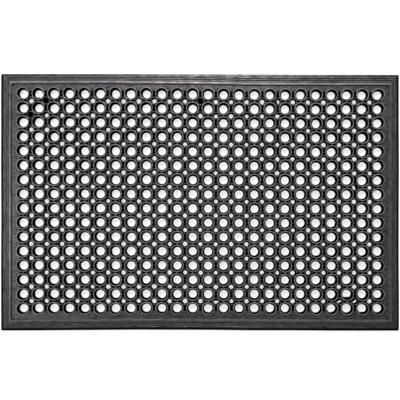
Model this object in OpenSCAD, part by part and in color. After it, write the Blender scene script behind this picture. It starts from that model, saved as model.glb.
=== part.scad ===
// Perforated rubber anti-fatigue mat: a field of raised drain rings joined by
// ribs and a low web, inside a grooved and bevelled border. The whole mat is
// one rubber moulding, given here region by region, each region meeting the
// next face to face. Millimetres. +Z is up, +X runs along the long side, and
// the origin is the middle of the footprint, on the floor.

/* [Field] */
// Number of drain rings along the long side
cols = 24; // [2:1:24]
// Number of drain rings along the short side
rows = 16; // [2:1:16]
// Ring spacing along the long side
pitch_x = 35.2; // [34.5:0.1:36.5]
// Ring spacing along the short side
pitch_y = 32.6; // [32:0.1:34]
// Overall thickness, floor to the top of the ring rims
mat_h = 12; // [11.5:0.5:14]
// How far the field of rings sits towards the back of the footprint
field_shift = 1.6; // [0:0.1:2]

/* [Drain rings] */
// Outer diameter of a ring
ring_d = 29.2; // [28.5:0.1:29.8]
// Bore diameter at the rim
bore_top_d = 25.8; // [22:0.1:26.2]
// Bore diameter at the throat, where the drain hole is narrowest
bore_throat_d = 18.6; // [14:0.1:20]
// Height of the ring's lower edge above the floor
ring_lift = 3; // [2:0.1:3.5]
// Bevel on the rim's outer edge
rim_bevel = 0.7; // [0.3:0.1:1]

/* [Web and ribs] */
// Height of the web's underside above the floor
web_lift = 4; // [3.6:0.1:4.5]
// Thickness of the web sheet
web_t = 3; // [2:0.1:4]
// Width of the ribs that tie neighbouring rings together
rib_w = 2.6; // [2:0.1:4]
// Drop of the rib tops below the ring rims
rib_drop = 1.2; // [0.8:0.1:2]

/* [Small drains] */
// Outer diameter of the boss round a small drain
boss_d = 19.4; // [19.2:0.1:20.4]
// Drop of the boss top below the ring rims
boss_drop = 1.5; // [0.8:0.1:2]
// Small drain diameter at the boss top
drain_top_d = 14.6; // [12:0.1:15]
// Small drain diameter at its throat
drain_throat_d = 9.2; // [6:0.1:10]

/* [Underside] */
// Diameter of the studs that hold the field off the floor
stud_d = 7; // [6.6:0.1:9]

/* [Border] */
// Outer edge to the first ring centre, at the two short ends
end_margin = 52.2; // [49:0.1:60]
// Outer edge to the first ring centre along the two long sides, on average
side_margin = 50.7; // [49:0.1:60]
// Width of the bevelled ramp, from the outer edge to its inner step
ramp_w = 27.7; // [27:0.1:29]
// Height of the lip at the outer edge
lip_h = 2.4; // [1.5:0.1:4]
// Height of the flat band between the ramp and the rings
band_h = 9.4; // [8.5:0.1:10.5]
// Distance between the grip grooves on the ramp
groove_pitch = 4.7; // [4:0.1:5]
// Number of grip grooves
grooves = 4; // [1:1:4]
// Radius of the mat's four corners, seen from above
corner_r = 4; // [2:0.5:10]

/* [Hidden] */
$fn = 64;
cut = 0.5;              // overshoot of a cutting tool
lap = 1;                // how far a rib runs into the wall of each ring
throat_h = 1;           // straight length of a drain's throat
groove_start = 5.5;     // outer edge to the first groove
groove_w = 1.9;
groove_depth = 0.9;
crest_w = 2.4;          // flat on top of the ramp's crest
step_run = 2;           // run of the step from the crest down to the band
pit_w = 5.2;            // open width left between a border band and the ribs
rubber = [0.24, 0.24, 0.25];

mat_l = (cols - 1) * pitch_x + 2 * end_margin;
mat_w = (rows - 1) * pitch_y + 2 * side_margin;
gap_x = pitch_x - ring_d;
gap_y = pitch_y - ring_d;
web_top = web_lift + web_t;
rib_h = mat_h - rib_drop - web_lift;
boss_top = mat_h - boss_drop;
crest_in = ramp_w - step_run;
crest_out = crest_in - crest_w;
ramp_slope = (mat_h - lip_h) / crest_out;
front_reach = side_margin + field_shift - rib_w / 2;    // outer edge to the first row's ribs
back_reach = side_margin - field_shift - rib_w / 2;     // outer edge to the last row's ribs
end_reach = end_margin - rib_w / 2;     // outer edge to the first column's ribs

SIDES = ["front", "back", "left", "right"];

// A name with a two-digit number at its end.
function numbered(name, n) = str(name, n < 10 ? "0" : "", n);

// Centre of ring column i and of ring row j, counted from 1 at the left and
// at the front.
function col_x(i) = (i - (cols + 1) / 2) * pitch_x;
function row_y(j) = (j - (rows + 1) / 2) * pitch_y + field_shift;

// A side's turn from the front, where a strip is drawn, to its own place.
function turn_of(side) =
    side == "front" ? 0 : side == "right" ? 90 : side == "back" ? 180 : -90;
function is_long(side) = side == "front" || side == "back";
function length_of(side) = is_long(side) ? mat_l : mat_w;
function depth_of(side) = is_long(side) ? mat_w : mat_l;
function reach_of(side) =
    side == "front" ? front_reach : side == "back" ? back_reach : end_reach;

// Top of the ramp at distance s from the outer edge, before the grooves.
function ramp_z(s) = lip_h + ramp_slope * s;

// One V groove across the ramp, as three points of the ramp's section.
function groove_points(k) =
    let (s = groove_start + k * groove_pitch)
    [[s - groove_w / 2, ramp_z(s - groove_w / 2)],
     [s, ramp_z(s) - groove_depth],
     [s + groove_w / 2, ramp_z(s + groove_w / 2)]];

// Section through the ramp: lip, grooved slope, crest and step. It stands on
// the floor over its whole width.
function ramp_section() = concat(
    [[0, 0], [0, lip_h]],
    [for (k = [0 : grooves - 1]) each groove_points(k)],
    [[crest_out, mat_h], [crest_in, mat_h], [ramp_w, band_h], [ramp_w, 0]]);

// Section through the margin: a flat band held off the floor, which drops to
// the web's thickness just before the first ribs.
function margin_section(reach) =
    [[ramp_w, web_lift], [ramp_w, band_h],
     [reach - pit_w, band_h], [reach - pit_w, web_top],
     [reach, web_top], [reach, web_lift]];

// A drain hole: a straight throat that opens in a cone up to the top face.
module drain(throat_d, top_d, z_low, z_top) {
    translate([0, 0, z_low - cut])
        cylinder(h = throat_h + cut, d = throat_d);
    translate([0, 0, z_low + throat_h])
        cylinder(h = z_top - z_low - throat_h, d1 = throat_d, d2 = top_d);
    translate([0, 0, z_top])
        cylinder(h = cut, d = top_d);
}

// The outside of one drain ring, with a bevelled rim.
module ring_outside() {
    translate([0, 0, ring_lift])
        cylinder(h = mat_h - ring_lift - rim_bevel, d = ring_d);
    translate([0, 0, mat_h - rim_bevel])
        cylinder(h = rim_bevel, d1 = ring_d, d2 = ring_d - 2 * rim_bevel);
}

// The space that a ring fills, taken out of whatever lies round it.
module ring_seat(i, j) {
    translate([col_x(i), row_y(j), 0])
        cylinder(h = mat_h + cut, d = ring_d);
}

// A rib from the web's underside to just below the rims, across a ring gap.
module rib(gap) {
    translate([-gap / 2 - lap, -rib_w / 2, web_lift])
        cube([gap + 2 * lap, rib_w, rib_h]);
}

// Ring row j: a chain of drain rings along X, tied by ribs, with a stud
// between the floor and each rib.
module ring_row(j) {
    color(rubber)
    translate([0, row_y(j), 0])
    difference() {
        union() {
            for (i = [1 : cols])
                translate([col_x(i), 0, 0]) ring_outside();
            for (i = [1 : cols - 1])
                translate([col_x(i) + pitch_x / 2, 0, 0]) {
                    rib(gap_x);
                    cylinder(h = web_lift, d = stud_d);
                }
        }
        for (i = [1 : cols])
            translate([col_x(i), 0, 0])
                drain(bore_throat_d, bore_top_d, ring_lift, mat_h);
    }
}

// Web row j, between ring rows j and j + 1: the low web, a rib across each
// ring gap, and a bossed small drain in the middle of each four rings.
module web_row(j) {
    y_mid = row_y(j) + pitch_y / 2;
    color(rubber)
    difference() {
        union() {
            translate([col_x(1) - rib_w / 2, row_y(j) + rib_w / 2, web_lift])
                cube([(cols - 1) * pitch_x + rib_w, pitch_y - rib_w, web_t]);
            for (i = [1 : cols])
                translate([col_x(i), y_mid, 0])
                    rotate([0, 0, 90]) rib(gap_y);
            for (i = [1 : cols - 1])
                translate([col_x(i) + pitch_x / 2, y_mid, web_lift])
                    cylinder(h = boss_top - web_lift, d = boss_d);
        }
        for (i = [1 : cols], row = [j, j + 1])
            ring_seat(i, row);
        for (i = [1 : cols - 1])
            translate([col_x(i) + pitch_x / 2, y_mid, 0])
                drain(drain_throat_d, drain_top_d, web_lift, boss_top);
    }
}

// The mat's outline with its rounded corners, as a block.
module outline_block() {
    linear_extrude(height = mat_h + cut)
        union() {
            square([mat_l - 2 * corner_r, mat_w], center = true);
            square([mat_l, mat_w - 2 * corner_r], center = true);
            for (sx = [-1, 1], sy = [-1, 1])
                translate([sx * (mat_l / 2 - corner_r), sy * (mat_w / 2 - corner_r)])
                    circle(r = corner_r);
        }
}

// A strip of the border with the given section, mitred at both ends. It is
// drawn along the front side and turned to its own side.
module border_strip(side, section) {
    length = length_of(side);
    reach = reach_of(side);
    rotate([0, 0, turn_of(side)])
        translate([0, -depth_of(side) / 2, 0])
        intersection() {
            rotate([90, 0, 90])
                translate([0, 0, -length / 2])
                    linear_extrude(height = length)
                        polygon(section);
            linear_extrude(height = mat_h + cut)
                polygon([[-length / 2, 0], [length / 2, 0],
                         [length / 2 - reach, reach], [reach - length / 2, reach]]);
        }
}

// The grooved ramp along one side.
module ramp(side) {
    color(rubber)
    intersection() {
        border_strip(side, ramp_section());
        outline_block();
    }
}

// The flat margin along one side, scalloped round the outermost rings.
module margin(side) {
    color(rubber)
    difference() {
        border_strip(side, margin_section(reach_of(side)));
        if (is_long(side))
            for (i = [1 : cols]) ring_seat(i, side == "front" ? 1 : rows);
        else
            for (j = [1 : rows]) ring_seat(side == "left" ? 1 : cols, j);
    }
}

for (side = SIDES) {
    ramp(side);
    margin(side);
}
for (j = [1 : rows])
    ring_row(j);
for (j = [1 : rows - 1])
    web_row(j);
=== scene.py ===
"""Looks of the perforated rubber anti-fatigue mat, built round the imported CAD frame.

Every CAD region of the moulding is replaced by a finer closed mesh of the same region: rings with
rounded rims, a web that flows into bosses and ribs, scalloped margins and grooved ramps. The drain
holes carry the marks of a careless trim. One slow warp then runs through all the regions, because a
real mat never lies perfectly straight.
"""
import math

import bmesh
import bpy
import numpy as np
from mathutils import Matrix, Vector


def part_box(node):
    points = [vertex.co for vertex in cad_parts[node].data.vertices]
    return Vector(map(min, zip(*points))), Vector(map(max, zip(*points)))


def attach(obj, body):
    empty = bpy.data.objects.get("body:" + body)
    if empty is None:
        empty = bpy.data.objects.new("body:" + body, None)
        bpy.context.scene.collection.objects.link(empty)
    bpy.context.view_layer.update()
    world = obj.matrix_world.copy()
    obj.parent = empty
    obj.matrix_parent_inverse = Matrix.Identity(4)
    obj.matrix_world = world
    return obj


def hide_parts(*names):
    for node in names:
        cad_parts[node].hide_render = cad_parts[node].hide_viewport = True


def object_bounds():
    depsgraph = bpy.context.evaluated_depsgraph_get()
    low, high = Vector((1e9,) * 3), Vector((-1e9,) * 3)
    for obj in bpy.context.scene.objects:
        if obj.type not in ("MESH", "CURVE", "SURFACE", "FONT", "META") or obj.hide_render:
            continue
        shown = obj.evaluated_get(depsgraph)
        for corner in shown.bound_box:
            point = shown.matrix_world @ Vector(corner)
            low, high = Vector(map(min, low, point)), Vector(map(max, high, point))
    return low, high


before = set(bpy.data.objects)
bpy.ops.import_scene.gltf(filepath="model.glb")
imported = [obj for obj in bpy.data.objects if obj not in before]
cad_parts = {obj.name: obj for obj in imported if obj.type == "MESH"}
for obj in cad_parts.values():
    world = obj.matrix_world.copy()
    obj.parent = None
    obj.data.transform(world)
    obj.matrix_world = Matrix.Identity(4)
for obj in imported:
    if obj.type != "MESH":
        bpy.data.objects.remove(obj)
cad_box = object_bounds()

MM = 0.001
COLS = 24                       # drain rings in a row
ROWS = sum(name.startswith("ring_row_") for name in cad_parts)
SIDES = {"front": 0, "right": 90, "back": 180, "left": -90}     # turn from the front side


def numbered(name, n):
    """A node's name with its two-digit number."""
    return f"{name}{n:02d}"


# ---------------------------------------------------------------- places, read from the frame

row_boxes = [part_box(numbered("ring_row_", j)) for j in range(1, ROWS + 1)]
ring_d = row_boxes[0][1][1] - row_boxes[0][0][1]
pitch_x = (row_boxes[0][1][0] - row_boxes[0][0][0] - ring_d) / (COLS - 1)
pitch_y = (row_boxes[-1][0][1] - row_boxes[0][0][1]) / (ROWS - 1)
row_y = [(low[1] + high[1]) / 2 for low, high in row_boxes]
col_x = [(i - (COLS - 1) / 2) * pitch_x for i in range(COLS)]
rim_z = row_boxes[0][1][2]
web_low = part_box("web_row_01")[0][2]
rib_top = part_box("web_row_01")[1][2]
band_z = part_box("margin_front")[1][2]
ramp_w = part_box("ramp_front")[1][1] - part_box("ramp_front")[0][1]
half_l = cad_box[1][0]
half_w = cad_box[1][1]
reach = {"front": half_w + row_y[0], "back": half_w - row_y[-1],
         "left": half_l + col_x[0], "right": half_l + col_x[0]}     # outer edge to first centres

# ---------------------------------------------------------------- sizes the boxes don't give

RING_LOW = 3.0 * MM             # lower edge of the rings
BORE_TOP_R = 12.9 * MM
THROAT_R = 9.3 * MM
THROAT_H = 1.0 * MM             # straight length of a hole's throat
SEAT_R = ring_d / 2 - 0.25 * MM     # where web and margins end, just inside the rings' walls
WEB_TOP = 7.0 * MM
BOSS_TOP = 10.5 * MM
BOSS_R = 9.7 * MM
BOSS_SHOULDER = 1.6 * MM        # run of the fall from a boss to the web, mostly inside the boss
DRAIN_TOP_R = 7.3 * MM
DRAIN_R = 4.6 * MM
RIB_HALF = 1.3 * MM             # half a rib's width
RIB_LAP = 0.9 * MM              # how far a rib runs into a ring's wall
RIB_SAG = 0.1 * MM              # how far a rib's back is hollow in its middle
STUD_R = 3.5 * MM
LIP_Z = 2.4 * MM                # height of the ramp's outer lip
GROOVE_START = 5.5 * MM
GROOVE_PITCH = 4.7 * MM
GROOVES = [GROOVE_START + k * GROOVE_PITCH for k in range(4)]
GROOVE_DEPTH = 1.4 * MM
GROOVE_HALF = 0.75 * MM
RIDGE_RISE = 0.22 * MM          # the soft ridge behind each groove
RIDGE_HALF = 1.1 * MM
RIDGE_AFTER = 2.3 * MM          # from a groove to its ridge
RAMP_CREASE = 0.35 * MM         # how far the mitres sink below the ramps
BAND_CREASE = 0.2 * MM          # the same on the flat band
CREST_IN = ramp_w - 2.0 * MM
CREST_OUT = CREST_IN - 2.4 * MM
PIT_W = 5.2 * MM                # open width between a margin's band and the ribs
FILLET_RISE = 0.7 * MM          # the web's upturn against a ring
FILLET_RUN = 0.9 * MM
CORNER_R = 4.0 * MM
DIMPLE_IN = 30.5 * MM           # edges to the dimple on each corner's mitre
DIMPLE_R = 2.1 * MM
DIMPLE_DEPTH = 2.6 * MM
RING_SEGMENTS = 44
SHARP_ANGLE = 38                # degrees between faces that keep a hard edge
SAME_PLACE = 1e-6               # vertices closer together than this are one


# ---------------------------------------------------------------- mesh building

class Shape:
    """Vertices and faces gathered from several closed solids."""

    def __init__(self):
        self.verts = []
        self.faces = []
        self.count = 0

    def add(self, verts, faces):
        """Adds a solid, given as an array of points and a list of index tuples."""
        start = self.count
        self.verts.append(np.asarray(verts, dtype=float))
        self.faces.extend([tuple(start + k for k in face) for face in faces])
        self.count += len(verts)

    def arrays(self):
        """All the points as one array, and all the faces."""
        return np.concatenate(self.verts), self.faces


def tube_faces(loops, per_loop):
    """Quads between neighbouring loops, the last loop joined to the first."""
    faces = []
    for a in range(loops):
        b = (a + 1) % loops
        for k in range(per_loop):
            n = (k + 1) % per_loop
            faces.append((a * per_loop + k, a * per_loop + n, b * per_loop + n, b * per_loop + k))
    return faces


def lathe(profile, segments):
    """A ring-shaped solid: a closed (radius, height) profile turned about Z."""
    angles = np.linspace(0, 2 * math.pi, segments, endpoint=False)
    verts = [(r * math.cos(a), r * math.sin(a), z) for r, z in profile for a in angles]
    return np.array(verts), tube_faces(len(profile), segments)


def spindle(profile, segments):
    """A solid turned about Z from an open (radius, height) profile, with flat ends."""
    angles = np.linspace(0, 2 * math.pi, segments, endpoint=False)
    verts = [(r * math.cos(a), r * math.sin(a), z) for r, z in profile for a in angles]
    faces = tube_faces(len(profile), segments)[:(len(profile) - 1) * segments]
    last = (len(profile) - 1) * segments
    faces.append(tuple(range(segments - 1, -1, -1)))
    faces.append(tuple(range(last, last + segments)))
    return np.array(verts), faces


def capped_tube(verts, per_loop):
    """A solid from equal loops of points, one after the other, with a flat cap at each end."""
    last = len(verts) - per_loop
    quads = tube_faces(len(verts) // per_loop, per_loop)[:last]
    faces = [tuple(reversed(face)) for face in quads]
    faces.append(tuple(range(per_loop)))
    faces.append(tuple(range(last + per_loop - 1, last - 1, -1)))
    return np.array(verts), faces


def arc(centre, radius, start, end, steps):
    """Points on an arc in the (radius, height) plane, angles in degrees."""
    angles = np.radians(np.linspace(start, end, steps))
    return [(centre[0] + radius * math.cos(a), centre[1] + radius * math.sin(a)) for a in angles]


def shifted(solid, x, y):
    """The same solid, moved sideways."""
    return solid[0] + np.array([x, y, 0.0]), solid[1]


def to_mesh(name, verts, faces):
    """A Blender mesh from an array of points and a list of index tuples."""
    mesh = bpy.data.meshes.new(name)
    mesh.from_pydata(np.asarray(verts, dtype=float).tolist(), [], faces)
    mesh.validate()
    return mesh


def boolean(solid_a, solid_b, operation):
    """The union, difference or intersection of two sets of closed solids."""
    objects = []
    for label, solid in (("a", solid_a), ("b", solid_b)):
        obj = bpy.data.objects.new("operand_" + label, to_mesh("operand_" + label, *solid))
        bpy.context.scene.collection.objects.link(obj)
        objects.append(obj)
    modifier = objects[0].modifiers.new("boolean", "BOOLEAN")
    modifier.object = objects[1]
    modifier.operation = operation
    modifier.solver = "MANIFOLD"
    graph = bpy.context.evaluated_depsgraph_get()
    result = bpy.data.meshes.new_from_object(objects[0].evaluated_get(graph))
    verts = np.empty(len(result.vertices) * 3)
    result.vertices.foreach_get("co", verts)
    faces = [tuple(p.vertices) for p in result.polygons]
    for obj in objects:
        mesh = obj.data
        bpy.data.objects.remove(obj)
        bpy.data.meshes.remove(mesh)
    bpy.data.meshes.remove(result)
    return verts.reshape(-1, 3), faces


# ---------------------------------------------------------------- how a real mat lies

# How far things lie from where the CAD has them.
SIT_RIGHT = 1.2 * MM            # the whole field, towards the right
WANDER = 0.45 * MM              # rings, from side to side
WANDER_WAVES = (0.055, 0.09, 0.21)      # in metres, as are the other places and lengths below
TURN = 0.9 * MM                 # the field's right half forwards and its left half back
TURN_GROWTH = 2.8 * MM          # the same again for each metre towards the back
TURN_RUN = 0.15
RIPPLE = 0.25 * MM              # every outer edge, inwards
RIPPLE_WAVES = (0.16, 0.3)
FRONT_BOW = 2.1 * MM            # the front edge, inwards at its deepest place
FRONT_BOW_X = -0.09
FRONT_BOW_RUN = 0.21
BACK_DROP = 1.0 * MM            # the back edge, inwards: none at the left end, twice this at the right
BACK_DROP_RUN = 0.16
FREE_IN = 20 * MM               # the field's own shifts are whole this far inside the outer edge
BOW_REACH = 60 * MM             # an edge's bow dies out this far inside it
WAVES_EACH = 3                  # waves of each wavelength in a slow noise


def smooth_noise(x, y, wavelengths, seed):
    """Slow noise of about ±1: a few seeded waves in random directions."""
    rng = np.random.default_rng(seed)
    total = np.zeros_like(x)
    for wavelength in wavelengths:
        for _ in range(WAVES_EACH):
            turn, phase = rng.uniform(0, 2 * math.pi, 2)
            along = x * math.cos(turn) + y * math.sin(turn)
            total += np.sin(2 * math.pi * along / wavelength + phase)
    peak = 1.6 * math.sqrt(WAVES_EACH * len(wavelengths) / 2)
    return total / peak


def edge_fade(distance, width):
    """1 at the outer edge, falling smoothly to 0 a width inside it."""
    t = np.clip(1 - distance / width, 0, 1)
    return t * t * (3 - 2 * t)


def warp(verts):
    """Shifts points a little sideways: a field off its place, rings that wander, and outer edges
    that bow inwards."""
    x = verts[:, 0]
    y = verts[:, 1]
    free = 1 - edge_fade(np.minimum(half_l - np.abs(x), half_w - np.abs(y)), FREE_IN)
    ripple = RIPPLE * np.clip(1 + smooth_noise(x, y, RIPPLE_WAVES, 13), 0.1, 2)
    front = FRONT_BOW * np.exp(-((x - FRONT_BOW_X) / FRONT_BOW_RUN) ** 2) + ripple
    back = BACK_DROP * (1 + np.tanh(x / BACK_DROP_RUN)) + ripple
    out = verts.copy()
    out[:, 0] += free * (SIT_RIGHT + WANDER * smooth_noise(x, y, WANDER_WAVES, 11))
    out[:, 0] += ripple * (edge_fade(half_l + x, BOW_REACH) - edge_fade(half_l - x, BOW_REACH))
    out[:, 1] += free * WANDER * smooth_noise(x, y, WANDER_WAVES, 12)
    out[:, 1] -= free * (TURN + TURN_GROWTH * y) * np.tanh(x / TURN_RUN)
    out[:, 1] += front * edge_fade(half_w + y, BOW_REACH) - back * edge_fade(half_w - y, BOW_REACH)
    return out


# ---------------------------------------------------------------- ring rows

def ring_profile():
    """Section of one drain ring: tapered bore, rounded rim, slightly drafted outer wall."""
    wall = ring_d / 2
    fillet = 0.75 * MM
    inner = 0.5 * MM
    throat_top = RING_LOW + THROAT_H
    return (
        [(THROAT_R + 0.35 * MM, RING_LOW), (wall - 0.4 * MM, RING_LOW), (wall, RING_LOW + 0.4 * MM),
         (wall, WEB_TOP), (wall - 0.1 * MM, rim_z - fillet)]
        + arc((wall - 0.1 * MM - fillet, rim_z - fillet), fillet, 22, 90, 4)
        + arc((BORE_TOP_R + inner, rim_z - inner), inner, 90, 155, 3)
        + [((BORE_TOP_R + THROAT_R) / 2, (rim_z + throat_top) / 2),
           (THROAT_R + 0.15 * MM, throat_top + 0.3 * MM), (THROAT_R, throat_top - 0.2 * MM),
           (THROAT_R, RING_LOW + 0.35 * MM)])


def rib_height(across, low, top):
    """Top of a rounded rib at a distance across it, from its middle."""
    t = np.clip(np.abs(across) / RIB_HALF, 0, 1)
    return low + (top - low) * (1 - t ** 2.4) ** 0.55


def rib_solid():
    """A rounded rib across the gap between two rings, its back a little hollow along its length."""
    low = web_low - 0.2 * MM
    half = (pitch_x - ring_d) / 2 + RIB_LAP
    across = RIB_HALF * np.array([1.0, 0.96, 0.82, 0.55, 0.2, -0.2, -0.55, -0.82, -0.96, -1.0])
    verts = []
    for x in np.linspace(-half, half, 7):
        sag = RIB_SAG * (1 - (x / half) ** 2)
        top = rib_height(across, WEB_TOP - 1.5 * MM, rib_top - sag)
        verts += [(x, -RIB_HALF, low), (x, RIB_HALF, low)]
        verts += [(x, y, z) for y, z in zip(across, top)]
    return capped_tube(verts, len(across) + 2)


def stud_solid():
    """A short round stud, its foot rounded at the edge."""
    foot = arc((STUD_R - 0.8 * MM, 0.6 * MM), 0.6 * MM, -90, 0, 4)
    return spindle(foot + [(STUD_R, web_low + 0.3 * MM)], 20)


def ring_row_template():
    """One row of rings about y = 0, with its ribs and studs, as one closed solid."""
    rings, ribs, studs = Shape(), Shape(), Shape()
    ring = lathe(ring_profile(), RING_SEGMENTS)
    rib = rib_solid()
    stud = stud_solid()
    for x in col_x:
        rings.add(*shifted(ring, x, 0))
    for x in col_x[:-1]:
        ribs.add(*shifted(rib, x + pitch_x / 2, 0))
        studs.add(*shifted(stud, x + pitch_x / 2, 0))
    row = boolean(rings.arrays(), ribs.arrays(), "UNION")
    return boolean(row, studs.arrays(), "UNION")


# ---------------------------------------------------------------- web rows

def cell_edge(cos_t, sin_t, limit_x, limit_y):
    """Distance from a small drain's centre to the edge of its cell, in one direction."""
    cx, cy = pitch_x / 2, pitch_y / 2
    along = abs(cos_t) * cx + abs(sin_t) * cy
    inside = along ** 2 - (cx ** 2 + cy ** 2 - SEAT_R ** 2)
    hits = [along - math.sqrt(inside)] if inside > 0 else []
    if abs(cos_t) > 1e-9:
        hits.append(limit_x / abs(cos_t))
    if abs(sin_t) > 1e-9:
        hits.append(limit_y / abs(sin_t))
    return min(hits)


def cell_angles(limit_x, limit_y):
    """Directions round a cell, with one at each corner of its outline and more along its four arcs."""
    side = math.atan2(pitch_y / 2 - math.sqrt(SEAT_R ** 2 - (limit_x - pitch_x / 2) ** 2), limit_x)
    end = math.atan2(limit_y, pitch_x / 2 - math.sqrt(SEAT_R ** 2 - (pitch_y / 2 - limit_y) ** 2))
    steps = np.array([0.02, 0.055, 0.12, 0.22, 0.36, 0.52, 0.68, 0.82, 0.93])
    quarter = [0, side * 0.55, side] + list(side + (end - side) * steps) + [end, (end + math.pi / 2) / 2]
    quarter = np.array(quarter)
    half = np.concatenate([quarter, [math.pi / 2], math.pi - quarter[:0:-1]])
    return np.concatenate([half, half + math.pi])


def web_height(x, y, to_edge):
    """Top of the web in a cell, measured from the small drain's centre."""
    r = np.hypot(x, y)
    shoulder = np.clip((r - (BOSS_R - 1.0 * MM)) / BOSS_SHOULDER, 0, 1)
    boss = BOSS_TOP - (BOSS_TOP - WEB_TOP) * shoulder ** 2 * (3 - 2 * shoulder)
    rib = rib_height(np.abs(x) - pitch_x / 2, WEB_TOP, rib_top)
    fillet = FILLET_RISE * np.clip(1 - to_edge / FILLET_RUN, 0, 1) ** 2
    return np.maximum(np.maximum(boss, rib), WEB_TOP + fillet)


def web_cell(first, last):
    """One cell of a web row, open towards its neighbours: a small drain, its boss and the web
    round it, out to the four rings and the ribs."""
    limit_y = pitch_y / 2 - RIB_HALF + 0.25 * MM
    limits = (pitch_x / 2 + (RIB_HALF if last else 0), pitch_x / 2 + (RIB_HALF if first else 0))
    angles = cell_angles(pitch_x / 2, limit_y)
    throat_top = web_low + THROAT_H
    cone = [(DRAIN_R + 0.3 * MM, web_low),
            (DRAIN_R, web_low + 0.35 * MM),
            (DRAIN_R, throat_top - 0.2 * MM),
            (DRAIN_R + 0.15 * MM, throat_top + 0.2 * MM),
            ((DRAIN_R + DRAIN_TOP_R) / 2, (throat_top + BOSS_TOP) / 2),
            (DRAIN_TOP_R - 0.1 * MM, BOSS_TOP - 0.4 * MM),
            (DRAIN_TOP_R + 0.2 * MM, BOSS_TOP - 0.08 * MM)]
    boss_start = DRAIN_TOP_R + 0.6 * MM
    # Loops over the boss and down its shoulder, then on to the cell's edge.
    boss_stops = np.array([7.9, 8.6, 9.05, 9.4, 9.75, 10.1, 10.5]) * MM
    pit_stops = np.array([0.35, 0.68, 0.8, 0.84, 0.88, 0.93, 1.0])
    columns = []
    for angle in angles:
        cos_t, sin_t = math.cos(angle), math.sin(angle)
        edge = cell_edge(cos_t, sin_t, limits[0] if cos_t > 0 else limits[1], limit_y)
        fraction = np.arange(len(boss_stops)) / (len(boss_stops) + 2)
        boss_r = np.minimum(boss_stops, boss_start + (edge - boss_start) * fraction)
        pit_r = boss_r[-1] + (edge - boss_r[-1]) * pit_stops
        r = np.concatenate([boss_r, pit_r])
        z = web_height(r * cos_t, r * sin_t, edge - r)
        column = cone + list(zip(r, z)) + [(edge, web_low)]
        columns.append([(radius * cos_t, radius * sin_t, height) for radius, height in column])
    per_loop = len(angles)
    loops = len(columns[0])
    verts = np.array(columns).transpose(1, 0, 2).reshape(-1, 3)
    faces = []
    for face in tube_faces(loops, per_loop):
        is_wall = face[0] // per_loop == loops - 2
        middle_x = abs(verts[face[0]][0] + verts[face[1]][0]) / 2
        shared = abs(middle_x - pitch_x / 2) < SAME_PLACE
        if not (is_wall and shared):
            faces.append(face)
    return verts, faces


def merged(solid):
    """The same solid with vertices that share a place made one."""
    mesh = to_mesh("merge", *solid)
    work = bmesh.new()
    work.from_mesh(mesh)
    bmesh.ops.remove_doubles(work, verts=work.verts, dist=SAME_PLACE)
    bmesh.ops.recalc_face_normals(work, faces=work.faces)
    verts = np.array([v.co[:] for v in work.verts])
    faces = [tuple(v.index for v in f.verts) for f in work.faces]
    work.free()
    bpy.data.meshes.remove(mesh)
    return verts, faces


def web_row_template():
    """One web row about y = 0, as one closed solid."""
    row = Shape()
    cells = COLS - 1
    middle = web_cell(False, False)
    for i in range(cells):
        cell = middle if 0 < i < cells - 1 else web_cell(i == 0, i == cells - 1)
        row.add(*shifted(cell, col_x[i] + pitch_x / 2, 0))
    return merged(row.arrays())


# ---------------------------------------------------------------- trimmed and torn flash

# Marks of a careless trim, by (row, hole), counted from 0 at the front left. Bearings are in degrees,
# turning left from +X. A nib is a tongue of rubber left in the hole: bearing, depth and half width in
# degrees. A skin covers the hole beyond a straight edge: bearing, and the edge's distance from the
# hole's middle. A closed drain was never punched through.
RING_MARKS = {
    (15, 1): [("nib", -95, 2.4 * MM, 22)],
    (1, 21): [("skin", -88, 6.6 * MM)],
    (0, 22): [("nib", -84, 1.8 * MM, 26)]}
WEB_MARKS = {
    (14, 16): [("skin", 200, 0.6 * MM)],
    (0, 20): [("skin", 118, 0.8 * MM), ("skin", 300, 3.2 * MM)],
    (0, 21): [("skin", 125, 0.9 * MM), ("skin", 305, 3.2 * MM)],
    (0, 12): [("skin", 90, 1.2 * MM)],
    (8, 21): [("skin", 20, 1.4 * MM)],
    (6, 20): [("nib", 160, 2.2 * MM, 30)]}
CLOSED_DRAINS = [(14, 1), (14, 11), (13, 0)]
RING_SPREAD = 0.26 * MM         # how far a bore's throat strays from its radius
DRAIN_SPREAD = 0.3 * MM         # the same for a small drain
RING_SEED = 100                 # seed of the first row's draws, one more for each row behind it
DRAIN_SEED = 200


def trimmed(solid, hole_x, middle_y, radius, spread, marks, seed):
    """The same solid with every throat a little out of round, and with its row's marks."""
    verts, faces = solid
    out = verts.copy()
    rng = np.random.default_rng(seed)
    for k, x in enumerate(hole_x):
        dx = verts[:, 0] - x
        dy = verts[:, 1] - middle_y
        r = np.hypot(dx, dy)
        near = r < radius + 0.5 * MM
        angle = np.arctan2(dy[near], dx[near])
        new_r = r[near] + spread * np.clip(rng.standard_normal(), -1.8, 1.8)
        for lobes in (2, 3, 4, 6):
            new_r += spread * rng.uniform(0.1, 0.6) * np.cos(lobes * angle + rng.uniform(0, 2 * math.pi))
        for kind, bearing, size, *half_width in marks.get(k, []):
            turn = (angle - math.radians(bearing) + math.pi) % (2 * math.pi) - math.pi
            if kind == "nib":
                new_r -= size * np.exp(-(turn / math.radians(*half_width)) ** 2)
            else:
                new_r = np.minimum(new_r, size / np.maximum(np.cos(turn), 0.02))
        out[near, 0] = x + dx[near] * new_r / r[near]
        out[near, 1] = middle_y + dy[near] * new_r / r[near]
    return out, faces


def row_marks(marks, row):
    """The marks in one row, by hole."""
    return {hole: found for (r, hole), found in marks.items() if r == row}


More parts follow.
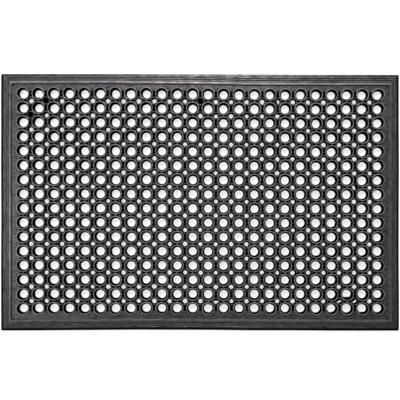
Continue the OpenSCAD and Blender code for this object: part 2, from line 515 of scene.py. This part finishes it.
def plugged(solid, row, middle_y):
    """The same web row with a skin across each small drain that was never punched."""
    skins = Shape()
    skin_r = DRAIN_R + 0.7 * MM
    skin = spindle([(skin_r, web_low + 0.2 * MM), (skin_r, web_low + 1.3 * MM)], 24)
    for r, hole in CLOSED_DRAINS:
        if r == row:
            skins.add(*shifted(skin, col_x[hole] + pitch_x / 2, middle_y))
    return boolean(solid, skins.arrays(), "UNION") if skins.count else solid


# ---------------------------------------------------------------- border

def ramp_height(s):
    """Top of the ramp at a distance from the outer edge."""
    slope = (rim_z - LIP_Z) / CREST_OUT
    rise = LIP_Z + slope * s
    blend = 0.5 * MM
    z = 0.5 * (rise + rim_z - np.sqrt((rise - rim_z) ** 2 + blend ** 2))
    for groove in GROOVES:
        z = z - GROOVE_DEPTH * np.exp(-((s - groove) / GROOVE_HALF) ** 2)
        z = z + RIDGE_RISE * np.exp(-((s - groove - RIDGE_AFTER) / RIDGE_HALF) ** 2)
    fall = np.clip((s - CREST_IN) / (ramp_w - CREST_IN), 0, 1)
    z = np.minimum(z, rim_z - 0.02 * MM)
    return z - (z - band_z) * fall ** 2 * (3 - 2 * fall)


def ramp_section():
    """Closed section of a ramp as (distance in, height), up the lip and over to the inner step."""
    s = np.concatenate([np.linspace(0.6 * MM, CREST_IN, 40), np.linspace(CREST_IN, ramp_w, 7)[1:]])
    lip = [(0.12 * MM, 0.0), (0.0, 0.15 * MM), (0.0, LIP_Z - 0.6 * MM), (0.16 * MM, LIP_Z - 0.1 * MM)]
    return lip + list(zip(s, ramp_height(s))) + [(ramp_w, 0.0)]


def margin_section(width):
    """Closed section of a margin: a flat band with a rounded shoulder down to the pits."""
    band_end = width - RIB_HALF - PIT_W
    round_r = 0.9 * MM
    top = arc((band_end - round_r, band_z - round_r), round_r, 90, 12, 5)
    foot = [(band_end + 0.3 * MM, WEB_TOP + 0.5 * MM), (band_end + 0.9 * MM, WEB_TOP)]
    start = ramp_w - 0.5 * MM
    return ([(start, web_low), (start, band_z - 0.05 * MM), (ramp_w + 0.2 * MM, band_z - 0.02 * MM),
             (ramp_w + 4 * MM, band_z)] + top + foot
            + [(width - RIB_HALF + 0.3 * MM, WEB_TOP), (width - RIB_HALF + 0.3 * MM, web_low)])


def mitred_sweep(section, length, crease):
    """A section swept along the front side, mitred at both ends. Its origin is the middle of the
    outer edge. A crease sinks the top a little along the mitres."""
    near = np.array([0, 0.5, 1.0, 2.0, 4.0]) * MM
    inner = np.linspace(8 * MM, length - 8 * MM, int(length / (11 * MM)))
    verts = []
    for s, z in section:
        run = length - 2 * s
        place = np.concatenate([near, inner, length - near[::-1]]) / length
        x = -run / 2 + place * run
        sink = crease * np.exp(-((run / 2 - np.abs(x)) / (0.8 * MM)) ** 2) if z > LIP_Z - MM else 0 * x
        verts.append(np.column_stack([x, np.full_like(x, s), z - sink]))
    return capped_tube(np.array(verts).transpose(1, 0, 2).reshape(-1, 3), len(section))


def placed(solid, side):
    """Turns a strip drawn at the front, with its outer edge on y = 0, to its own side."""
    verts, faces = solid
    depth = half_w if side in ("front", "back") else half_l
    turn = math.radians(SIDES[side])
    x, y = verts[:, 0], verts[:, 1] - depth
    turned_x = x * math.cos(turn) - y * math.sin(turn)
    turned_y = x * math.sin(turn) + y * math.cos(turn)
    return np.column_stack([turned_x, turned_y, verts[:, 2]]), faces


def side_length(side):
    """Length of the mat along one side."""
    return 2 * (half_l if side in ("front", "back") else half_w)


def corner_block():
    """A block with the mat's rounded outline."""
    points = []
    for sx, sy, start in ((1, 1, 0), (-1, 1, 90), (-1, -1, 180), (1, -1, 270)):
        centre = (sx * (half_l - CORNER_R), sy * (half_w - CORNER_R))
        points += arc(centre, CORNER_R, start, start + 90, 9)
    count = len(points)
    verts = [(x, y, z) for z in (-MM, rim_z + MM) for x, y in points]
    faces = [(k, (k + 1) % count, count + (k + 1) % count, count + k) for k in range(count)]
    faces += [tuple(range(count - 1, -1, -1)), tuple(range(count, 2 * count))]
    return np.array(verts), faces


def ramp_solid(side):
    """The grooved ramp along one side, its outer corners rounded."""
    strip = placed(mitred_sweep(ramp_section(), side_length(side), RAMP_CREASE), side)
    return boolean(strip, corner_block(), "INTERSECT")


def dimple_pin():
    """The cutting tool for the dimple in a corner of the band."""
    profile = [(0.5 * DIMPLE_R, band_z - DIMPLE_DEPTH),
               (0.9 * DIMPLE_R, band_z - 0.7 * DIMPLE_DEPTH),
               (DIMPLE_R, band_z - 0.2 * MM),
               (1.25 * DIMPLE_R, band_z + 0.1 * MM),
               (DIMPLE_R, rim_z)]
    return spindle(profile, 16)


def seats(side):
    """What is cut out of a margin: the outermost rings along its side, and the corner dimples."""
    tool = Shape()
    pin = spindle([(SEAT_R, -MM), (SEAT_R, rim_z + MM)], RING_SEGMENTS)
    rows = {"front": row_y[:1], "back": row_y[-1:]}.get(side, row_y)
    cols = {"left": col_x[:1], "right": col_x[-1:]}.get(side, col_x)
    for x in cols:
        for y in rows:
            tool.add(*shifted(pin, x, y))
    dimple = dimple_pin()
    for sx in (-1, 1):
        for sy in (-1, 1):
            tool.add(*shifted(dimple, sx * (half_l - DIMPLE_IN), sy * (half_w - DIMPLE_IN)))
    return tool.arrays()


def margin_solid(side):
    """The flat margin along one side, scalloped round the rings."""
    strip = placed(mitred_sweep(margin_section(reach[side]), side_length(side), BAND_CREASE), side)
    return boolean(strip, seats(side), "DIFFERENCE")


# ---------------------------------------------------------------- materials

# Heights between which a look comes in.
WORN = (10.4 * MM, 11.3 * MM)           # rubbed by feet
PAINTED_PIT_SHADE = (7.6 * MM, 9.2 * MM)        # glossy and dusty above; below it the pits are painted shade, black and without reflection
PAINTED_LIP_SHADE = (3.8 * MM, 4.7 * MM)       # glossy and dusty above; below it the ramp's lip is painted shade, standing in for its shadow line on the floor
LOW_SHINE = (1.0 * MM, 2.0 * MM)        # glossy all over
SHADE_ALL_OVER = (60 * MM, 500 * MM)          # painted shade all over: black and without reflection

# Colours.
BLACK = (0.0018, 0.0017, 0.0019)
DUSTY = (0.031, 0.0275, 0.032)
WORN_RIMS = (0.17, 0.162, 0.171)
# Wear on the ramps' crests, painted lighter at the back, which faces the back lamp, and darker at the
# front and ends: painted light and shade on top of the wear.
FRONT_CREST_WEAR_AND_SHADE = (0.045, 0.041, 0.046)
BACK_CREST_WEAR_AND_LIGHT = (0.09, 0.083, 0.092)
END_CREST_WEAR_AND_SHADE = (0.035, 0.032, 0.036)
# Painted shade, near-black, for the bore walls and the faces that look down.
PAINTED_SHADE_BLACK = (0.001, 0.001, 0.001)
PAINTED_SHADE_GREY = (0.0015, 0.0015, 0.0015)
SHEEN_TINT = (1.0, 0.94, 1.0, 1)

# Features in a metre, for each kind of noise.
PATCHES = 9.0
RUBS = 45.0
SHEENS = 60.0
MOTTLES = 230.0
SMEARS = 260.0
LUMPS = 260.0
GRAINS = 1400.0

# How high the bumps stand, and how the smears stretch.
GRAIN_HEIGHT = 0.13 * MM
LUMP_HEIGHT = 0.6 * MM
EVEN = (1.0, 1.0, 1.0)
A_LITTLE_ALONG_X = (0.5, 1.0, 1.0)
ALONG_X = (0.2, 1.0, 1.0)
ALONG_Y = (1.0, 0.2, 1.0)


class Looks:
    """A material and the short cuts that its node tree is built with."""

    def __init__(self, name):
        self.material = bpy.data.materials.new(name)
        self.material.use_nodes = True
        self.nodes = self.material.node_tree.nodes
        self.link = self.material.node_tree.links.new
        self.shader = self.nodes["Principled BSDF"].inputs
        self.place = self.nodes.new("ShaderNodeTexCoord").outputs["Object"]

    def noise(self, scale, detail, rough, place=None):
        """Cloudy noise of about 0.5, at the mat's own places unless others are given."""
        node = self.nodes.new("ShaderNodeTexNoise")
        node.inputs["Scale"].default_value = scale
        node.inputs["Detail"].default_value = detail
        node.inputs["Roughness"].default_value = rough
        self.link(place or self.place, node.inputs["Vector"])
        return node.outputs["Fac"]

    def remap(self, value, start, end):
        """A value moved from one (low, high) range to another, and held inside it."""
        node = self.nodes.new("ShaderNodeMapRange")
        node.inputs["From Min"].default_value = start[0]
        node.inputs["From Max"].default_value = start[1]
        node.inputs["To Min"].default_value = end[0]
        node.inputs["To Max"].default_value = end[1]
        self.link(value, node.inputs["Value"])
        return node.outputs["Result"]

    def product(self, a, b):
        """Two values multiplied."""
        node = self.nodes.new("ShaderNodeMath")
        node.operation = "MULTIPLY"
        self.link(a, node.inputs[0])
        self.link(b, node.inputs[1])
        return node.outputs["Value"]

    def blend(self, a, b, amount):
        """Colour a turning into colour b, each a plain colour or a socket."""
        node = self.nodes.new("ShaderNodeMix")
        node.data_type = "RGBA"
        for value, socket in ((a, node.inputs["A"]), (b, node.inputs["B"])):
            if isinstance(value, tuple):
                socket.default_value = (*value, 1)
            else:
                self.link(value, socket)
        self.link(amount, node.inputs["Factor"])
        return node.outputs["Result"]

    def along_z(self, vector):
        """The Z part of a vector."""
        node = self.nodes.new("ShaderNodeSeparateXYZ")
        self.link(vector, node.inputs["Vector"])
        return node.outputs["Z"]

    def stretched(self, scales):
        """The mat's own places, scaled along each axis."""
        node = self.nodes.new("ShaderNodeMapping")
        node.inputs["Scale"].default_value = scales
        self.link(self.place, node.inputs["Vector"])
        return node.outputs["Vector"]

    def bump(self, height, strength, distance, under=None):
        """A bumpy surface, laid over another one if it is given."""
        node = self.nodes.new("ShaderNodeBump")
        node.inputs["Strength"].default_value = strength
        node.inputs["Distance"].default_value = distance
        self.link(height, node.inputs["Height"])
        if under:
            self.link(under, node.inputs["Normal"])
        return node.outputs["Normal"]


def rubber(name, base, dusty, wear_and_painted_light, roughness, painted_shade_heights, streak):
    """Moulded black rubber: greyer and drier where dust settles, paler still where feet rub the highest
    edges. Below the shade heights the low parts are painted shade, black and without reflection; above
    them they turn glossy and take dust. The wear colour also carries painted light and shade on the
    ramps' crests. Streak stretches the smears along one side of the mat."""
    looks = Looks(name)
    looks.shader["Specular Tint"].default_value = SHEEN_TINT
    height = looks.along_z(looks.place)
    normal = looks.nodes.new("ShaderNodeNewGeometry").outputs["Normal"]
    upward = looks.remap(looks.along_z(normal), (0.45, 0.95), (0.0, 1.0))
    # 1 above the shade heights, 0 below them: the low parts are painted shade, without dust or
    #                                          reflection
    out_of_painted_shade = looks.remap(height, painted_shade_heights, (0.0, 1.0))

    patches = looks.remap(looks.noise(PATCHES, 4.0, 0.6), (0.35, 0.68), (0.25, 1.0))
    mottle = looks.remap(looks.noise(MOTTLES, 3.0, 0.7), (0.32, 0.68), (0.2, 1.25))
    dust = looks.product(looks.product(upward, out_of_painted_shade), looks.product(patches, mottle))
    rubs = looks.remap(looks.noise(RUBS, 4.0, 0.6), (0.3, 0.62), (0.35, 1.0))
    rubbed = looks.product(looks.remap(height, WORN, (0.0, 1.0)), rubs)
    looks.link(looks.blend(looks.blend(base, dusty, dust), wear_and_painted_light, rubbed), looks.shader["Base Color"])

    smears = looks.noise(SMEARS, 3.0, 0.75, looks.stretched(streak))
    clean = looks.remap(smears, (0.34, 0.66), (0.12, 1.0))
    looks.link(looks.product(out_of_painted_shade, clean), looks.shader["Specular IOR Level"])
    rough_range = (roughness - 0.08, roughness + 0.1)
    sheen = looks.remap(looks.noise(SHEENS, 5.0, 0.65), (0.3, 0.7), rough_range)
    looks.link(sheen, looks.shader["Roughness"])

    grain = looks.bump(looks.noise(GRAINS, 3.0, 0.6), 0.35, GRAIN_HEIGHT)
    lumps = looks.bump(looks.noise(LUMPS, 2.0, 0.6), 0.8, LUMP_HEIGHT, under=grain)
    looks.link(lumps, looks.shader["Normal"])
    return looks.material


def border_rubber(name, wear_and_painted_light, painted_shade_heights, streak):
    """The slightly drier rubber of the border."""
    return rubber(name, BLACK, DUSTY, wear_and_painted_light, 0.46, painted_shade_heights, streak)


field_rubber = rubber("field_rubber", BLACK, DUSTY, WORN_RIMS, 0.44, PAINTED_PIT_SHADE, EVEN)
band_rubber = border_rubber("band_rubber", DUSTY, PAINTED_PIT_SHADE, A_LITTLE_ALONG_X)
# Lit and shaded copies of one border rubber: the crests' colours differ by side as painted light and
# shade, and the front and ends have their lips painted shade, while the back's lip, facing the back
# lamp, has none.
ramp_rubber = {
    "front": border_rubber("front_ramp_rubber", FRONT_CREST_WEAR_AND_SHADE, PAINTED_LIP_SHADE, ALONG_X),
    "back": border_rubber("back_ramp_rubber", BACK_CREST_WEAR_AND_LIGHT, LOW_SHINE, ALONG_X),
    "left": border_rubber("left_ramp_rubber", END_CREST_WEAR_AND_SHADE, PAINTED_LIP_SHADE, ALONG_Y)}
ramp_rubber["right"] = ramp_rubber["left"]
# Painted shade: near-black rubber without reflection, put on the bore walls and the faces that look
# down.
painted_shade_rubber = rubber("painted_shade_rubber", PAINTED_SHADE_BLACK, PAINTED_SHADE_GREY, PAINTED_SHADE_GREY, 0.8, SHADE_ALL_OVER, EVEN)


# ---------------------------------------------------------------- pieces

LOOKS_DOWN = -0.3               # a face looks down where its normal's Z is less than this


def face_array(mesh, name, width):
    """One value or vector of every face, as an array."""
    values = np.empty(len(mesh.polygons) * width)
    mesh.polygons.foreach_get(name, values)
    return values.reshape(-1, width) if width > 1 else values


def in_bore(mesh, x_shift, y_middle, radius):
    """Which faces lie in a row of bores, or look down: the faces painted with shade."""
    centre = face_array(mesh, "center", 3)
    x = (centre[:, 0] - col_x[0] - x_shift) / pitch_x
    across = (x - np.round(x)) * pitch_x
    inside = np.hypot(across, centre[:, 1] - y_middle) < radius
    return inside | (face_array(mesh, "normal", 3)[:, 2] < LOOKS_DOWN)


def show(name, node, solid, material, bores=None):
    """Makes the piece that stands for a CAD node. Faces in its bores, given as (x shift, y, radius), get
    painted shade, near-black rubber without reflection, and so do its faces that look down."""
    verts, faces = solid
    mesh = to_mesh(name, verts, faces)
    mesh.materials.append(material)
    mesh.materials.append(painted_shade_rubber)
    if bores:
        mesh.polygons.foreach_set("material_index", in_bore(mesh, *bores).astype(np.int32))
    mesh.vertices.foreach_set("co", warp(verts).ravel())
    mesh.shade_smooth()
    mesh.set_sharp_from_angle(angle=math.radians(SHARP_ANGLE))
    piece = bpy.data.objects.new(name, mesh)
    bpy.context.scene.collection.objects.link(piece)
    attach(piece, "root")
    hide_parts(node)


ring_row = ring_row_template()
for j in range(ROWS):
    placed_row = shifted(ring_row, 0, row_y[j])
    marks = row_marks(RING_MARKS, j)
    row = trimmed(placed_row, col_x, row_y[j], THROAT_R, RING_SPREAD, marks, RING_SEED + j)
    show(numbered("moulded_rings_", j + 1), numbered("ring_row_", j + 1), row,
         field_rubber, (0, row_y[j], BORE_TOP_R))

web_row = web_row_template()
drain_x = [x + pitch_x / 2 for x in col_x[:-1]]
for j in range(ROWS - 1):
    middle = row_y[j] + pitch_y / 2
    placed_row = shifted(web_row, 0, middle)
    marks = row_marks(WEB_MARKS, j)
    row = trimmed(placed_row, drain_x, middle, DRAIN_R, DRAIN_SPREAD, marks, DRAIN_SEED + j)
    show(numbered("moulded_web_", j + 1), numbered("web_row_", j + 1), plugged(row, j, middle),
         field_rubber, (pitch_x / 2, middle, DRAIN_TOP_R))

for side in SIDES:
    show("bevel_" + side, "ramp_" + side, ramp_solid(side), ramp_rubber[side])
    show("band_" + side, "margin_" + side, margin_solid(side), band_rubber)


# ---------------------------------------------------------------- floor, light and camera

FLOOR_HALF = 15.0               # far enough out that no low view sees its edge
FLOOR_DROP = 0.05 * MM          # how far the floor lies below the mat's feet
FLOOR_GREY = 0.28
FLOOR_GLOW = 0.69
WORLD_STRENGTH = 0.38


def floor_material():
    """A white sweep lit from behind, so that it also shows white at the bottom of the holes."""
    material = bpy.data.materials.new("floor_white")
    material.use_nodes = True
    shader = material.node_tree.nodes["Principled BSDF"]
    shader.inputs["Base Color"].default_value = (FLOOR_GREY, FLOOR_GREY, FLOOR_GREY, 1)
    shader.inputs["Roughness"].default_value = 0.9
    shader.inputs["Emission Color"].default_value = (1, 1, 1, 1)
    shader.inputs["Emission Strength"].default_value = FLOOR_GLOW
    return material


def floor():
    """A plain square that the mat lies on."""
    corners = [(sx * FLOOR_HALF, sy * FLOOR_HALF, 0) for sx, sy in ((-1, -1), (1, -1), (1, 1), (-1, 1))]
    mesh = to_mesh("floor", corners, [(0, 1, 2, 3)])
    mesh.materials.append(floor_material())
    obj = bpy.data.objects.new("floor", mesh)
    obj.location.z = -FLOOR_DROP
    bpy.context.scene.collection.objects.link(obj)


def area_light(name, place, size, power):
    """A square light that faces the middle of the mat."""
    data = bpy.data.lights.new(name, "AREA")
    data.size = size
    data.energy = power
    light = bpy.data.objects.new(name, data)
    light.location = place
    light.rotation_euler = (-Vector(place)).to_track_quat("-Z", "Y").to_euler()
    light.visible_camera = False
    bpy.context.scene.collection.objects.link(light)


floor()
area_light("back", place=(0, 2.0, 1.7), size=0.4, power=102)
area_light("left", place=(-2.0, 0, 1.7), size=0.5, power=40)

world = bpy.data.worlds.new("studio")
world.use_nodes = True
background = world.node_tree.nodes["Background"].inputs
background["Color"].default_value = (1, 1, 1, 1)
background["Strength"].default_value = WORLD_STRENGTH
bpy.context.scene.world = world
bpy.context.scene.view_settings.view_transform = "Standard"

CAMERA = (0.035, -0.06, 1.0)                # straight above this point, looking straight down
FILL = 0.9953                               # share of the picture's width that the mat fills
PICTURE_MIDDLE = (0.0, 0.0052)              # the point of the floor in the middle of the picture
SENSOR_WIDTH = 36                           # in millimetres, as the lens is
picture_width = 2 * half_l / FILL * CAMERA[2] / (CAMERA[2] - LIP_Z)
camera_data = bpy.data.cameras.new("camera")
camera_data.sensor_width = SENSOR_WIDTH
camera_data.lens = SENSOR_WIDTH * CAMERA[2] / picture_width
camera_data.shift_x = (PICTURE_MIDDLE[0] - CAMERA[0]) / picture_width
camera_data.shift_y = (PICTURE_MIDDLE[1] - CAMERA[1]) / picture_width
camera = bpy.data.objects.new("camera", camera_data)
camera.location = CAMERA
bpy.context.scene.collection.objects.link(camera)
bpy.context.scene.camera = camera
